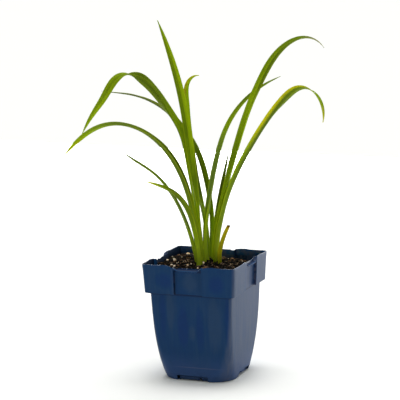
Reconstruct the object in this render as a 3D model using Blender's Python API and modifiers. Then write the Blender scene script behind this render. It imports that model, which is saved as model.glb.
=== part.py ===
"""A young daylily with long strap leaves, growing in a square blue nursery pot.

Metres, +Z up. The origin is the middle of the pot's underside, where it stands.
The pot's sides lie along X and Y, and its front is the side at -Y.
"""
import math
import random
from collections import namedtuple

import bmesh
import bpy
from mathutils import Matrix, Vector, noise

NAME = "potted_daylily"
MM = 0.001
GAP = 0.3 * MM

# Pot: a thin moulded square cup with a wide band round its mouth
RIM_WIDTH = 114.0 * MM
POT_HEIGHT = 138.0 * MM
BAND_HEIGHT = 35.0 * MM
BAND_DRAFT = 1.8 * MM
BAND_STEP = 5.0 * MM
WALL = 1.2 * MM
BAND_CORNER = 4.2 * MM
FOOT_CORNER = 26.0 * MM
BODY_TAPER = 4.2 * MM
FOOT_PULL = 2.9 * MM
FOOT_EDGE = 1.0 * MM

# Panel: a shallow recess in each side of the band, under a lip that curls out and down.
# The sides are numbered anticlockwise from above, front first, and places run that way.
PANEL_WIDTH = 33.0 * MM
PANEL_DEPTH = 3.8 * MM
PANEL_SLOPE = 0.9 * MM
PANEL_CENTRES = (-0.5 * MM, 3.5 * MM, 1.0 * MM, 5.0 * MM)
LIP_DROP = 5.4 * MM
LIP_FLARE = 0.2 * MM
LIP_THICKNESS = 1.1 * MM
PANEL_TOP = 130.0 * MM
RIM_DIPS = (2.2 * MM, 2.4 * MM, 0.3 * MM, 1.0 * MM)
RIM_SWELL = 0.8 * MM
RIM_EASE = 2.4 * MM
NOTCH_DROPS = (0.0, 0.8 * MM, 1.7 * MM, 1.8 * MM)
NOTCH_SPOTS = (0.0, -17.0 * MM, -16.0 * MM, 15.5 * MM)
NOTCH_SPREAD = 1.6 * MM

# Foot: a low arch under each side, with a raised channel of floor behind it
ARCH_WIDTH = 36.0 * MM
ARCH_HEIGHT = 6.0 * MM
ARCH_DEPTH = 3.5 * MM
CHANNEL_HEIGHT = 2.8 * MM
CHANNEL_DEPTH = 17.0 * MM
CHANNEL_FLOOR = 1.5 * MM
NOTCH_WIDTH = 2.6 * MM
NOTCH_OFFSET = 8.0 * MM
NOTCH_DEPTH = 6.0 * MM

# Soil: loose peat and bark, heaped round the plant and banked up at the left wall
SOIL_EDGE = 127.5 * MM
SOIL_HEAP = 4.5 * MM
SOIL_HEAP_REACH = 34.0 * MM
SOIL_BANK = 5.0 * MM
BANK_START = -10.0 * MM
BANK_WIDTH = 38.0 * MM
SOIL_FALL = 1.5 * MM
SOIL_SLOPE = 90.0 * MM
CORNER_DROP = 2.5 * MM
SOIL_CRUMBLE = 1.5 * MM
SOIL_CELLS = 24
BEAD_COUNT = 16
BARK_COUNT = 20
SOIL_SEED = 7

# Plant
ROOT_DEPTH = 9.0 * MM
ROOT_LEVEL = 131.0 * MM
BLADE_THICKNESS = 0.8 * MM
BLADE_STEP = 11.0
TURN_SHARE = 0.45
VIEW_TURN = math.radians(22.0)
CLUMP_CENTRE = Vector((1.5 * MM, 4.0 * MM, ROOT_LEVEL))

BAND_BOTTOM = POT_HEIGHT - BAND_HEIGHT
BODY_TOP_HALF = RIM_WIDTH / 2 - BAND_DRAFT - BAND_STEP
ROUND_STEPS = 4


def new_material(name, colour, roughness):
    """A plain Principled material with one colour."""
    material = bpy.data.materials.new(name)
    material.use_nodes = True
    shader = material.node_tree.nodes["Principled BSDF"]
    shader.inputs["Base Color"].default_value = (*colour, 1.0)
    shader.inputs["Roughness"].default_value = roughness
    shader.inputs["Metallic"].default_value = 0.0
    return material


def new_collection(name):
    collection = bpy.data.collections.new(name)
    bpy.context.scene.collection.children.link(collection)
    return collection


def new_object(name, bm, collection, material=None):
    """Turn a bmesh into a named object with faces pointing out."""
    bmesh.ops.recalc_face_normals(bm, faces=bm.faces)
    mesh = bpy.data.meshes.new(name)
    bm.to_mesh(mesh)
    bm.free()
    obj = bpy.data.objects.new(name, mesh)
    collection.objects.link(obj)
    if material:
        mesh.materials.append(material)
    return obj


def new_cutter(name, bm, collection):
    cutter = new_object(name, bm, collection)
    cutter.hide_render = True
    cutter.display_type = "WIRE"
    return cutter


def boolean(obj, operation, operand, solver="EXACT"):
    """Add a Boolean with one object, or with all the objects of a collection."""
    modifier = obj.modifiers.new(operation.title(), "BOOLEAN")
    modifier.operation = operation
    modifier.solver = solver
    if isinstance(operand, bpy.types.Collection):
        modifier.operand_type = "COLLECTION"
        modifier.collection = operand
    else:
        modifier.object = operand
    return modifier


def apply_modifiers(obj):
    """Replace an object's mesh with its evaluated one."""
    bpy.context.view_layer.update()
    evaluated = obj.evaluated_get(bpy.context.evaluated_depsgraph_get())
    mesh = bpy.data.meshes.new_from_object(evaluated)
    obj.modifiers.clear()
    obj.data = mesh


def add_box(bm, low, high, turn=0.0):
    """A box between two corners, turned about Z after it is placed."""
    size = Vector(high) - Vector(low)
    middle = (Vector(high) + Vector(low)) / 2
    place = Matrix.Rotation(turn, 4, "Z") @ Matrix.Translation(middle) @ Matrix.Diagonal((*size, 1.0))
    bmesh.ops.create_cube(bm, size=1.0, matrix=place)


def loft(bm, rings):
    """Skin a closed solid through rings of points, each extruded from the one before."""
    ring = bmesh.ops.create_circle(bm, segments=len(rings[0]), radius=1.0)["verts"]
    for vert, point in zip(ring, rings[0]):
        vert.co = point
    bmesh.ops.contextual_create(bm, geom=ring)
    for points in rings[1:]:
        edges = [bm.edges.get((ring[i - 1], ring[i])) for i in range(len(ring))]
        grown = bmesh.ops.extrude_edge_only(bm, edges=edges)["geom"]
        old = set(ring)
        above = {}
        for vert in (item for item in grown if isinstance(item, bmesh.types.BMVert)):
            for edge in vert.link_edges:
                if edge.other_vert(vert) in old:
                    above[edge.other_vert(vert)] = vert
        ring = [above[vert] for vert in ring]
        for vert, point in zip(ring, points):
            vert.co = point
    bmesh.ops.contextual_create(bm, geom=ring)


# Pot

def body_section(z):
    """Half width and corner radius of the body at height z below the band."""
    drop = 1 - z / BAND_BOTTOM
    half = BODY_TOP_HALF - BODY_TAPER * drop - FOOT_PULL * drop ** 3.35
    radius = BAND_CORNER + (FOOT_CORNER - BAND_CORNER) * drop ** 3
    return half, radius


def smooth(x):
    x = min(1.0, max(0.0, x))
    return x * x * (3 - 2 * x)


def rim_height(place, side, drop):
    """Height of the rim: drop lower over the panel, with a slight swell beside it."""
    away = abs(place - PANEL_CENTRES[side])
    over = smooth((PANEL_WIDTH / 2 + PANEL_SLOPE - away) / RIM_EASE)
    swell = RIM_SWELL * math.exp(-((away - 25 * MM) / (6 * MM)) ** 2)
    return POT_HEIGHT - drop * over + swell


def inner_rim(place, side):
    """The rim's inner edge, with the small notch that some sides have at a panel's end."""
    notch = NOTCH_DROPS[side] * math.exp(-((place - PANEL_CENTRES[side] - NOTCH_SPOTS[side]) / NOTCH_SPREAD) ** 2)
    return rim_height(place, side, RIM_DIPS[side]) - notch


def outer_rim(place, side):
    """The rim's outer edge, which hangs low along the lip."""
    return min(rim_height(place, side, LIP_DROP), inner_rim(place, side))


def pot_ring(inset, half, radius, recess, height):
    """One ring of the pot. height(place, side) gives Z, and recess pushes the panel in."""
    half = half - inset
    radius = max(radius - inset, 0.8 * MM)
    straight = half - radius
    share = min(1.0, straight / (BODY_TOP_HALF - BAND_CORNER))
    inner = PANEL_WIDTH / 2 * share + inset
    slope = PANEL_SLOPE * share
    points = []
    for side in range(4):
        turn = Matrix.Rotation(side * math.pi / 2, 3, "Z")
        centre = PANEL_CENTRES[side] * share
        near = centre - inner - slope
        far = centre + inner + slope
        places = [-straight, (near - straight) / 2, near, near + slope, (near + slope + centre) / 2, centre]
        places += [(far - slope + centre) / 2, far - slope, far, (far + straight) / 2, straight]
        for place in places:
            depth = recess if abs(place - centre) < inner + 0.01 * MM else 0.0
            points.append(turn @ Vector((place, depth - half, height(place, side))))
        for step in range(1, ROUND_STEPS + 1):
            angle = -math.pi / 2 + math.pi / 2 * step / (ROUND_STEPS + 1)
            x = straight + radius * math.cos(angle)
            y = -straight + radius * math.sin(angle)
            points.append(turn @ Vector((x, y, height(BODY_TOP_HALF, side))))
    return points


def wall_rings(inset, floor):
    """Rings of the wall from the floor to the top of the panels, moved in by inset."""
    half, radius = body_section(0.0)
    edge = max(FOOT_EDGE - inset, 0.3 * MM)
    rings = [pot_ring(inset, half - edge, radius - edge, 0.0, lambda place, side: floor)]
    levels = [floor + edge] + [share * BAND_BOTTOM for share in (0.12, 0.28, 0.5, 0.75)]
    for z in levels + [BAND_BOTTOM + inset]:
        half, radius = body_section(min(z, BAND_BOTTOM))
        rings.append(pot_ring(inset, half, radius, 0.0, lambda place, side, z=z: z))
    for z in (BAND_BOTTOM + inset, (BAND_BOTTOM + PANEL_TOP) / 2, PANEL_TOP):
        half = band_half(z)
        rings.append(pot_ring(inset, half, BAND_CORNER, PANEL_DEPTH, lambda place, side, z=z: z))
    return rings


def band_half(z):
    return RIM_WIDTH / 2 - BAND_DRAFT * (POT_HEIGHT - z) / BAND_HEIGHT


def lip_rings():
    """The outside of the rim: up the panel, out along the lip's underside, and its edge."""
    top = RIM_WIDTH / 2
    under = lambda place, side: inner_rim(place, side) - LIP_THICKNESS - 0.3 * MM
    edge = lambda place, side: outer_rim(place, side) - LIP_THICKNESS
    return [
        pot_ring(0.0, top, BAND_CORNER, PANEL_DEPTH, under),
        pot_ring(0.0, top, BAND_CORNER, 0.0, edge),
        pot_ring(0.0, top, BAND_CORNER, -LIP_FLARE, outer_rim),
    ]


def foot_boxes(bm, grow, width, depth, low, high, shift=0.0):
    """A box under the middle of each side, grown by a clearance all round."""
    half = body_section(0.0)[0]
    outside = 0.8 * MM if low > 0 else -5 * MM
    for side in range(4):
        near = (shift - width / 2 - grow, -half + outside, low)
        far = (shift + width / 2 + grow, -half + depth + grow, high + grow)
        add_box(bm, near, far, side * math.pi / 2)


def make_pot(parts, cutters):
    material = new_material("moulded_blue_plastic", (0.010, 0.036, 0.095), 0.42)
    bm = bmesh.new()
    outside = wall_rings(0.0, 0.0) + lip_rings()
    inside = wall_rings(WALL, WALL) + [pot_ring(WALL, RIM_WIDTH / 2, BAND_CORNER, PANEL_DEPTH, inner_rim)]
    loft(bm, outside + inside[::-1])
    pot = new_object("pot", bm, parts, material)
    bm = bmesh.new()
    roof = CHANNEL_HEIGHT + CHANNEL_FLOOR
    foot_boxes(bm, WALL, ARCH_WIDTH, CHANNEL_DEPTH - WALL, 0.7 * MM, roof - WALL)
    boolean(pot, "UNION", new_cutter("channel_housings", bm, cutters))
    cuts = (
        ("channel_cuts", ARCH_WIDTH, CHANNEL_DEPTH - WALL, CHANNEL_HEIGHT, 0.0),
        ("arch_cuts", ARCH_WIDTH, ARCH_DEPTH, ARCH_HEIGHT, 0.0),
        ("notch_cuts", NOTCH_WIDTH, NOTCH_DEPTH, roof + 0.5 * MM, NOTCH_OFFSET),
    )
    for name, width, depth, high, shift in cuts:
        bm = bmesh.new()
        foot_boxes(bm, 0.0, width, depth, -2 * MM, high, shift)
        boolean(pot, "DIFFERENCE", new_cutter(name, bm, cutters))
    return pot


# Leaves

def along(values, t):
    """Read a list of even stations as a smooth curve, t from 0 to 1."""
    last = len(values) - 1
    index = min(int(t * last), last - 1)
    f = t * last - index
    b, c = values[index], values[index + 1]
    a = values[index - 1] if index else 2 * b - c
    d = values[index + 2] if index + 2 <= last else 2 * c - b
    bend = (2 * a - 5 * b + 4 * c - d) * f ** 2 + (3 * b - a - 3 * c + d) * f ** 3
    return 0.5 * (2 * b + (c - a) * f + bend)


Leaf = namedtuple("Leaf", "across behind keel heading length width leans twists folds")

# Each leaf: where it stands across and behind the clump's middle in mm, the way its keel
# faces and the way the leaf leans in degrees, its length and width in mm, then, at even
# stations from base to tip and in degrees, its lean from upright, its twist, and how far
# each half of the blade is folded up from flat.
LEAVES = {
    "leaf_left_low_thin": Leaf(-12, -3.5, 196, 173, 167, 10.5, (10, 17, 28, 43, 62, 59), (0, 10, 15, 20),
        (66, 24, 16, 8)),
    "leaf_left_low_front": Leaf(-10.5, -17, 212, 236, 140, 11, (-2, 9, 18, 41, 65, 69),
        (0, -25, -40, -25), (66, 54, 68, 24)),
    "leaf_left_arch": Leaf(-9, -11.5, 203, 212, 283, 12, (0, 9, 14, 28, 49, 79, 120, 142),
        (0, -40, -35, -10, -25, -80), (66, 74, 24, 0)),
    "leaf_left_broad": Leaf(-5.5, -1, 199, 199, 341, 14, (7, 5, 6, 9, 11, 31, 34, 64, 144, 144, 155),
        (0, 5, 5, 5, 30, 80, 95, -55, -100, -95), (66, 52, 64, 44, 0, 4)),
    "leaf_left_tall": Leaf(-4, -7, 217, 183, 289, 12, (12, 4, 6, 6, 11, 17, 22), (0, -20, -65, -60, -60),
        (66, 48, 36, 4)),
    "leaf_centre_hooked": Leaf(-1.5, 4.5, 201, 167, 232, 11.5, (-9, 3, 12, 13, 9, 8, 3, -7, -93),
        (0, 10, 5, -10, -70), (66, 30, 32, 0)),
    "leaf_back_arch": Leaf(2.5, 8.5, 188, 157, 316, 10, (-8, 1, 12, 34, 55, 74, 88, 89),
        (0, -45, 5, 15, 15), (66, 56, 36, 12)),
    "leaf_right_back": Leaf(0.5, -3, 20, 47, 254, 9, (-13, 4, 11, 14, 21, 39, 58, 73),
        (0, 10, 15, 15, 20), (66, 48, 38, 28)),
    "leaf_right_short": Leaf(7, 1, 18, 57, 128, 4.5, (-2, 5, 14, 16, 14), (0, 0, -5, -10),
        (62, 70, 36, 30)),
    "leaf_right_tall": Leaf(9.5, -5.5, 25, 35, 324, 13.5, (-6, 9, 15, 18, 19, 25, 34, 70, 149),
        (0, 0, 20, 25, 45, 15), (62, 36, 20, 26)),
    "leaf_right_arch": Leaf(13, -5, 22, -15, 306, 14.5, (-13, 10, 17, 26, 33, 37, 43, 57, 133, 195),
        (0, 5, 10, 0, -35, 0), (62, 28, 36, 20, 0)),
    "leaf_right_stub": Leaf(14, -10, 26, -9, 50, 8.5, (-7, 19, 34), (0, 30, 15, -15), (62, 72, 60, 48)),
}

# The plain holes in the soil that the leaves stand in. Leaves that touch share one.
HOLES = {
    "front_hole": ("leaf_left_low_front", "leaf_left_arch"),
    "left_hole": ("leaf_left_low_thin",),
    "tall_hole": ("leaf_left_tall",),
    "broad_hole": ("leaf_left_broad",),
    "hooked_hole": ("leaf_centre_hooked",),
    "back_hole": ("leaf_back_arch",),
    "centre_hole": ("leaf_right_back",),
    "right_hole": ("leaf_right_short", "leaf_right_tall", "leaf_right_arch", "leaf_right_stub"),
}


def leaf_root(across, behind):
    turn = Matrix.Rotation(VIEW_TURN, 3, "Z")
    return CLUMP_CENTRE + turn @ Vector((across * MM, behind * MM, 0.0))


def leaf_frames(name, steps):
    """Points along a leaf's midrib with the blade's side and upper directions there."""
    leaf = LEAVES[name]
    step = leaf.length * MM / steps
    point = leaf_root(leaf.across, leaf.behind)
    frames = []
    fine = 8
    for index in range(steps * fine + 1):
        t = index / (steps * fine)
        lean = math.radians(along(leaf.leans, t))
        turn = math.radians(leaf.keel + (leaf.heading - leaf.keel) * smooth(t / TURN_SHARE))
        forward = Vector((math.sin(lean) * math.cos(turn), math.sin(lean) * math.sin(turn), math.cos(lean)))
        side = Vector((-math.sin(turn), math.cos(turn), 0.0))
        roll = Matrix.Rotation(math.radians(along(leaf.twists, t)), 3, forward)
        if index % fine == 0:
            frames.append((t, point.copy(), forward, roll @ side, roll @ forward.cross(side)))
        point += forward * step / fine
    t, point, forward, side, upper = frames[0]
    buried = [(t, point - forward * ROOT_DEPTH * share, forward, side, upper) for share in (1.0, 0.5)]
    return buried + frames


def leaf_half_width(leaf, t, blunt=False):
    swell = 0.8 + 0.2 * smooth(t / 0.35)
    taper = 1 - 0.35 * t ** 4 if blunt else (1 - t ** 3.4) ** 0.85
    return max(leaf.width * MM / 2 * swell * taper, 0.5 * MM)


def leaf_section(leaf, frame, blunt=False):
    """Three points across the folded blade: one edge, the keel and the other edge."""
    t, point, forward, side, upper = frame
    half = leaf_half_width(leaf, t, blunt)
    fold = math.radians(along(leaf.folds, t))
    low = point - upper * half / 2 * math.sin(fold)
    arm = upper * half * math.sin(fold)
    return [low - side * half * math.cos(fold) + arm, low, low + side * half * math.cos(fold) + arm]


def blade_mesh(name, steps):
    """A folded strip of blade: two columns of faces that meet at the midrib."""
    frames = leaf_frames(name, steps)
    bm = bmesh.new()
    bmesh.ops.create_grid(bm, x_segments=2, y_segments=len(frames) - 1, size=1.0)
    bm.verts.ensure_lookup_table()
    for row, frame in enumerate(frames):
        for column, spot in enumerate(leaf_section(LEAVES[name], frame, name.endswith("stub"))):
            bm.verts[row * 3 + column].co = spot
    bmesh.ops.triangulate(bm, faces=bm.faces)
    return bm


def make_leaf(name, parts, material):
    steps = max(10, int(LEAVES[name].length / BLADE_STEP))
    leaf = new_object(name, blade_mesh(name, steps), parts, material)
    shell = leaf.modifiers.new("Thickness", "SOLIDIFY")
    shell.thickness = BLADE_THICKNESS
    shell.offset = 0.0
    shell.use_even_offset = True
    return leaf


def make_leaves(parts):
    green = new_material("leaf_green", (0.130, 0.205, 0.006), 0.42)
    amber = new_material("leaf_amber", (0.420, 0.260, 0.008), 0.50)
    for name in LEAVES:
        make_leaf(name, parts, amber if name.endswith("stub") else green)


# Soil

def soil_height(x, y):
    """Top of the soil: a low heap round the plant, a bank at the left, all crumbly."""
    reach = math.hypot(x - CLUMP_CENTRE.x, y - CLUMP_CENTRE.y)
    heap = SOIL_HEAP * math.exp(-(reach / SOIL_HEAP_REACH) ** 2)
    bank = SOIL_BANK * smooth((BANK_START - x) / BANK_WIDTH)
    fall = -SOIL_FALL * smooth((x + y) / SOIL_SLOPE)
    corner = -CORNER_DROP * smooth((math.hypot(x, y) - 52 * MM) / (18 * MM))
    rough = noise.noise(Vector((x, y, 0.0)) / (6 * MM)) + 0.6 * noise.noise(Vector((x, y, 9.0)) / (2.7 * MM))
    calm = smooth((reach - 8 * MM) / (14 * MM))
    return SOIL_EDGE + heap + bank + fall + corner + SOIL_CRUMBLE * rough * (0.25 + 0.75 * calm)


def scatter_spots(rng, count, reach, clear):
    """Seeded places on the soil, clear of the clump and of the pot's wall."""
    spots = []
    while len(spots) < count:
        x = rng.uniform(-reach, reach)
        y = rng.uniform(-reach, reach)
        away = Vector((x - CLUMP_CENTRE.x, y - CLUMP_CENTRE.y))
        if away.length > clear:
            spots.append(Vector((x, y, soil_height(x, y))))
    return spots


def add_bead(bm, rng, spot):
    """A light round grain of perlite, half sunk."""
    size = rng.uniform(1.5, 2.3) * MM
    squash = Matrix.Diagonal((1.0, rng.uniform(0.75, 1.0), 0.8, 1.0))
    place = Matrix.Translation(spot) @ Matrix.Rotation(rng.uniform(0, math.pi), 4, "Z") @ squash
    bmesh.ops.create_icosphere(bm, subdivisions=1, radius=size, matrix=place)


def add_bark(bm, rng, spot):
    """A flat chip of bark lying tilted in the soil."""
    size = (rng.uniform(5, 9) * MM, rng.uniform(2.2, 3.8) * MM, rng.uniform(1.6, 2.4) * MM)
    tilt = Matrix.Rotation(rng.uniform(-0.45, 0.45), 4, "X") @ Matrix.Rotation(rng.uniform(-0.4, 0.4), 4, "Y")
    turn = Matrix.Rotation(rng.uniform(0, math.pi), 4, "Z")
    place = Matrix.Translation(spot) @ turn @ tilt @ Matrix.Diagonal((*size, 1.0))
    bmesh.ops.create_cube(bm, size=1.0, matrix=place)


def leaf_hole(leaves):
    """A plain hole round the buried ends of leaves: their hull, grown by a clearance."""
    clearance = 1.5 * BLADE_THICKNESS + GAP
    around = [math.pi / 3 * step for step in range(6)]
    bm = bmesh.new()
    for leaf in leaves:
        frames = leaf_frames(leaf, int(LEAVES[leaf].length / 8))
        for frame, rise in ((frames[0], -clearance), (frames[2], 0.0), (frames[3], 0.0)):
            for spot in leaf_section(LEAVES[leaf], frame):
                for angle in around:
                    shift = Vector((math.cos(angle), math.sin(angle), 0.0)) * clearance
                    bmesh.ops.create_vert(bm, co=spot + frame[2] * rise + shift)
    hull = bmesh.ops.convex_hull(bm, input=bm.verts)
    spare = {item for item in hull["geom_interior"] + hull["geom_unused"] if isinstance(item, bmesh.types.BMVert)}
    bmesh.ops.delete(bm, geom=list(spare), context="VERTS")
    return bm


def make_soil(parts, cutters):
    material = new_material("peat_and_bark", (0.018, 0.011, 0.007), 0.95)
    bm = bmesh.new()
    clear = WALL + GAP + 0.1 * MM
    mouth = pot_ring(clear, RIM_WIDTH / 2, BAND_CORNER, PANEL_DEPTH, lambda place, side: POT_HEIGHT)
    loft(bm, wall_rings(clear, WALL + GAP) + [mouth])
    bmesh.ops.triangulate(bm, faces=bm.faces)
    plug = new_cutter("soil_plug", bm, cutters)
    bm = bmesh.new()
    grid = bmesh.ops.create_grid(bm, x_segments=SOIL_CELLS, y_segments=SOIL_CELLS, size=RIM_WIDTH / 2)
    for vert in grid["verts"]:
        vert.co.z = soil_height(vert.co.x, vert.co.y)
    bmesh.ops.triangulate(bm, faces=bm.faces)
    walls = bmesh.ops.extrude_edge_only(bm, edges=[edge for edge in bm.edges if edge.is_boundary])["geom"]
    base = [item for item in walls if isinstance(item, bmesh.types.BMVert)]
    for vert in base:
        vert.co.z = -5 * MM
    bmesh.ops.contextual_create(bm, geom=[e for e in bm.edges if e.is_boundary])
    soil = new_object("soil", bm, parts, material)
    boolean(soil, "INTERSECT", plug)
    rng = random.Random(SOIL_SEED)
    crumbs = new_collection("crumbs")
    for index, spot in enumerate(scatter_spots(rng, BEAD_COUNT, 45 * MM, 21 * MM)):
        bm = bmesh.new()
        add_bead(bm, rng, spot)
        new_object("bead_%d" % index, bm, crumbs)
    for index, spot in enumerate(scatter_spots(rng, BARK_COUNT, 42 * MM, 23 * MM)):
        bm = bmesh.new()
        add_bark(bm, rng, spot)
        new_object("bark_%d" % index, bm, crumbs)
    boolean(soil, "UNION", crumbs)
    apply_modifiers(soil)
    for crumb in list(crumbs.objects):
        bpy.data.objects.remove(crumb)
    bpy.data.collections.remove(crumbs)
    bm = bmesh.new()
    foot_boxes(bm, GAP + WALL, ARCH_WIDTH, CHANNEL_DEPTH - WALL, -2 * MM, CHANNEL_HEIGHT + CHANNEL_FLOOR - WALL)
    boolean(soil, "DIFFERENCE", new_cutter("soil_channel_cuts", bm, cutters))
    bm = bmesh.new()
    foot_boxes(bm, GAP, ARCH_WIDTH, ARCH_DEPTH, -2 * MM, ARCH_HEIGHT)
    boolean(soil, "DIFFERENCE", new_cutter("soil_arch_cuts", bm, cutters))
    for name, leaves in HOLES.items():
        boolean(soil, "DIFFERENCE", new_cutter(name, leaf_hole(leaves), cutters))
    return soil


for old_object in list(bpy.data.objects):
    bpy.data.objects.remove(old_object)
part_collection = new_collection(NAME)
cutter_collection = new_collection("cutters")
make_pot(part_collection, cutter_collection)
make_leaves(part_collection)
make_soil(part_collection, cutter_collection)
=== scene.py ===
"""A young daylily in a square blue nursery pot, dressed over its fixed frame.

Metres, +Z up. The pot stands on the floor at Z = 0, and its front is the side at -Y.
"""
import math
import random
from collections import namedtuple

import bmesh
import bpy
from mathutils import Matrix, Vector, noise


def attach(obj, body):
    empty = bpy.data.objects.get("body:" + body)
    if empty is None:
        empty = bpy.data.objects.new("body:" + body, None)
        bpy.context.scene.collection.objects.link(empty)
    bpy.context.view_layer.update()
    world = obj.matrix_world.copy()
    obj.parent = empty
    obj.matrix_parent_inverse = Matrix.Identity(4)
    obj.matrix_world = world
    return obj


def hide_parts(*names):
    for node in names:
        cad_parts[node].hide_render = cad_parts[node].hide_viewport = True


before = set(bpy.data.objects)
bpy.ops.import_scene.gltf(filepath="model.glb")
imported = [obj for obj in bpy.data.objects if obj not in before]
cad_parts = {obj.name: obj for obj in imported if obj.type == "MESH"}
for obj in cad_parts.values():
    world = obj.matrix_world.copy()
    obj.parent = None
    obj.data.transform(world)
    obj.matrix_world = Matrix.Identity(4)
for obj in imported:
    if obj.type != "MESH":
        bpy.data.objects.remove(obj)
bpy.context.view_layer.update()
MM = 0.001


# Camera: a long lens low over the table, to the right of the pot's front and tipped a
# little to the left, as the photograph was taken.

camera_turn = math.radians(22.0)
camera_rise = math.radians(9.7)
camera_roll = math.radians(-1.3)
camera_distance = 2.0
camera_height = 205.8 * MM
camera_shift = -4.6 * MM
back = Vector((
    math.sin(camera_turn) * math.cos(camera_rise),
    -math.cos(camera_turn) * math.cos(camera_rise),
    math.sin(camera_rise),
))
level = Vector((math.cos(camera_turn), math.sin(camera_turn), 0.0))
upright = back.cross(level)
right = level * math.cos(camera_roll) + upright * math.sin(camera_roll)
top = upright * math.cos(camera_roll) - level * math.sin(camera_roll)
camera = bpy.data.objects.new("camera", bpy.data.cameras.new("camera"))
bpy.context.scene.collection.objects.link(camera)
place = right * camera_shift + Vector((0.0, 0.0, camera_height)) + back * camera_distance
camera.matrix_world = Matrix.Translation(place) @ Matrix((right, top, back)).transposed().to_4x4()
camera.data.lens = 155.0
camera.data.sensor_width = 36.0
bpy.context.scene.camera = camera
bpy.context.scene.view_settings.view_transform = "Standard"


# Pot: one thin square cup moulded in dark blue plastic, with a wide band round its mouth.
# Its wall is 1.2 mm. Each side of the band has a shallow panel under a lip that curls out
# and down, and each side of the foot has a low arch with a raised channel behind it.
# The sides are numbered anticlockwise from above, front first, and spots run that way.

RIM_WIDTH = 114.0 * MM
POT_HEIGHT = 138.0 * MM
BAND_BOTTOM = 104.0 * MM
BAND_DRAFT = 1.8 * MM
BAND_EDGE = 0.35 * MM
BAND_CORNER = 4.2 * MM
BODY_TOP_HALF = 50.2 * MM
BODY_TAPER = 4.2 * MM
FOOT_PULL = 2.9 * MM
FOOT_CORNER = 26.0 * MM
FOOT_EDGE = 1.0 * MM
THINNEST_EDGE = 0.3 * MM
WALL = 1.2 * MM
PANEL_WIDTH = 33.0 * MM
PANEL_SLOPE = 0.9 * MM
PANEL_DEPTH = 3.8 * MM
PANEL_TOP = 130.0 * MM
PANEL_CENTRES = (-0.5 * MM, 3.5 * MM, 1.0 * MM, 5.0 * MM)
RIM_DIPS = (2.8 * MM, 2.4 * MM, 0.3 * MM, 1.0 * MM)
RIM_EASE = 2.4 * MM
RIM_SWELL = 0.8 * MM
SWELL_PLACE = 27.0 * MM
SWELL_SPREAD = 5.0 * MM
LIP_EASE = 5.5 * MM
LIP_DROP = 5.4 * MM

# The dents in each side's rim, as (place, depth, spread) in mm.
DENTS = (
    ((-18.5, 2.6, 4.5), (20.0, 1.2, 5.0)),
    ((-13.5, 0.8, 1.6),),
    ((-15.0, 1.7, 1.6),),
    ((20.5, 1.8, 1.6), (12.0, 1.0, 3.0)),
)
LEFT_BAND = -48.0 * MM

# Where each side's foot arch and gate mark stand, in mm from its middle.
ARCH_CENTRES = (-2.0, 7.0, 0.0, 0.0)
GATE_CENTRES = (7.2, 4.0, 7.0, 7.0)
CENTRED = (0.0, 0.0, 0.0, 0.0)

# Points along the parts of one side of a ring: beside the panel, on its slope, across it
# and round a corner.
PLAIN_STEPS = 6
SLOPE_STEPS = 4
PANEL_STEPS = 14
CORNER_STEPS = 8


def smooth(x):
    """Rise from 0 to 1 while x does, level at both ends."""
    x = min(1.0, max(0.0, x))
    return x * x * (3 - 2 * x)


def body_section(z):
    """Half width and corner radius of the pot's body at height z."""
    drop = 1 - z / BAND_BOTTOM
    half = BODY_TOP_HALF - BODY_TAPER * drop - FOOT_PULL * drop ** 3.35
    return half, BAND_CORNER + (FOOT_CORNER - BAND_CORNER) * drop ** 3


def rim_height(spot, side, drop, ease=RIM_EASE):
    """The rim's height at a spot: lower by drop over the panel, with a slight swell beside it."""
    away = abs(spot - PANEL_CENTRES[side])
    over = smooth((PANEL_WIDTH / 2 + PANEL_SLOPE - away) / ease)
    swell = RIM_SWELL * math.exp(-((away - SWELL_PLACE) / SWELL_SPREAD) ** 2)
    return POT_HEIGHT - drop * over + swell


def inner_rim(spot, side):
    """The rim's inner edge, with the dents that each side has near its panel's ends."""
    height = rim_height(spot, side, RIM_DIPS[side])
    for middle, drop, spread in DENTS[side]:
        height -= drop * MM * math.exp(-((spot / MM - middle) / spread) ** 2)
    return height


def outer_rim(spot, side):
    """The rim's outer edge, which hangs low along the lip."""
    return min(rim_height(spot, side, LIP_DROP, LIP_EASE), inner_rim(spot, side))


def pot_ring(inset, half, radius, recess, height):
    """One ring round the pot. height(spot, side) gives Z, and recess pushes the panel in."""
    half = half - inset
    radius = max(radius - inset, 0.8 * MM)
    straight = half - radius
    share = min(1.0, straight / (BODY_TOP_HALF - BAND_CORNER))
    inner = PANEL_WIDTH / 2 * share + inset
    slope = PANEL_SLOPE * share
    points = []
    for side in range(4):
        turn = Matrix.Rotation(side * math.pi / 2, 3, "Z")
        centre = PANEL_CENTRES[side] * share
        near = centre - inner - slope
        far = centre + inner + slope
        spots = [-straight + (near + straight) * step / PLAIN_STEPS for step in range(PLAIN_STEPS)]
        spots += [near + slope * step / SLOPE_STEPS for step in range(SLOPE_STEPS)]
        spots += [near + slope + 2 * inner * step / PANEL_STEPS for step in range(PANEL_STEPS + 1)]
        spots += [far - slope + slope * step / SLOPE_STEPS for step in range(1, SLOPE_STEPS)]
        spots += [far + (straight - far) * step / PLAIN_STEPS for step in range(PLAIN_STEPS + 1)]
        for spot in spots:
            depth = recess * smooth((inner + slope - abs(spot - centre)) / slope)
            points.append(turn @ Vector((spot, depth - half, height(spot, side))))
        for step in range(1, CORNER_STEPS):
            angle = math.pi / 2 * (step / CORNER_STEPS - 1)
            x = straight + radius * math.cos(angle)
            y = -straight + radius * math.sin(angle)
            points.append(turn @ Vector((x, y, height(BODY_TOP_HALF, side))))
    return points


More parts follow.
